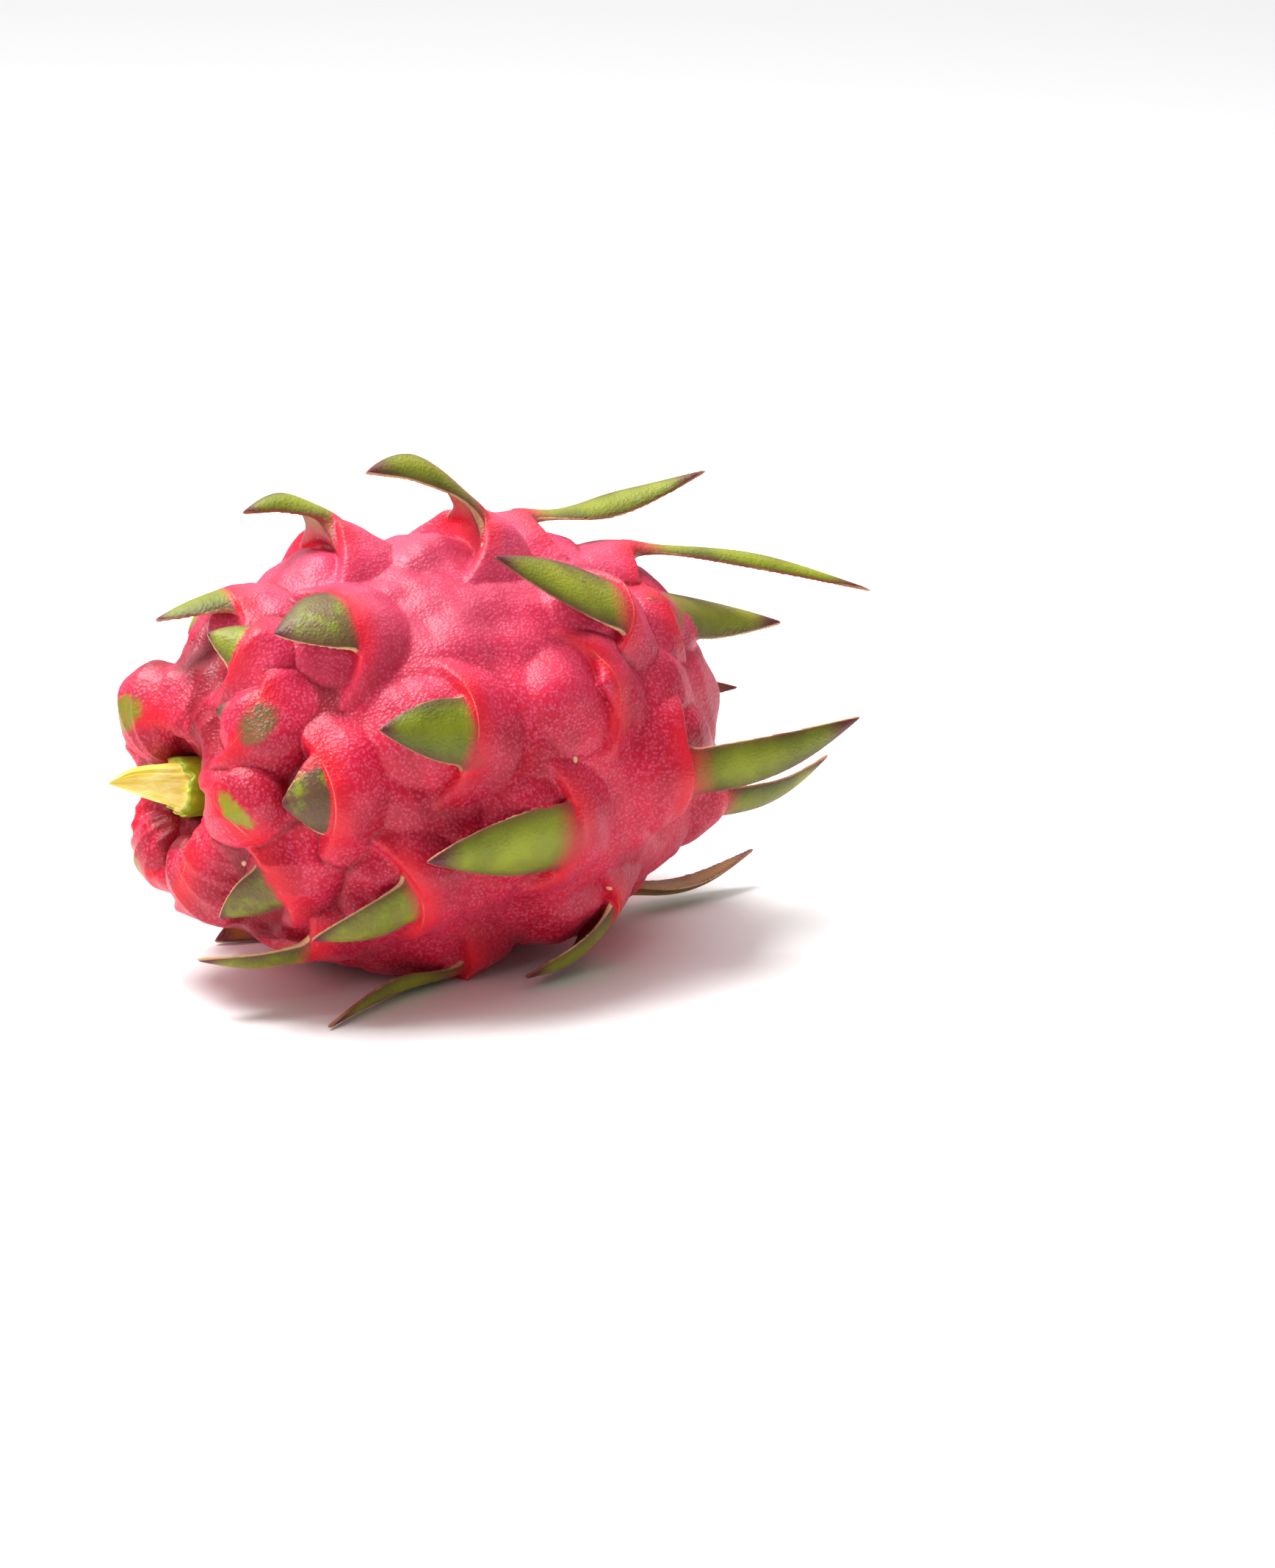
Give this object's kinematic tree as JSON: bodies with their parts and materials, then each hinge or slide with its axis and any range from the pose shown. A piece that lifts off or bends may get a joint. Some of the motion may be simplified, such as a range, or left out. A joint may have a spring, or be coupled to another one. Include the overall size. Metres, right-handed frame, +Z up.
{
  "type": "dragon fruit",
  "caption": "Whole pink dragon fruit lying on its side: leafy scales bent back along the body and upright at the flower end, with a snapped stem.",
  "frame": {"origin": "on the resting surface, under the middle of the fruit's box", "axes": "+X along the fruit from the stem to the flower end, +Y to its far side, +Z up"},
  "size_m": [0.1638, 0.0995, 0.1054],
  "materials": {
    "skin": "satin, waxy pink-red skin with green blades",
    "stem_wood": "moist green rind and pale yellow wood",
    "dried_flower": "dry, papery and brown"
  },
  "bodies": {
    "root": {"fruit": "skin", "stem": "stem_wood", "flower_remnant": "dried_flower"}
  },
  "joints": []
}
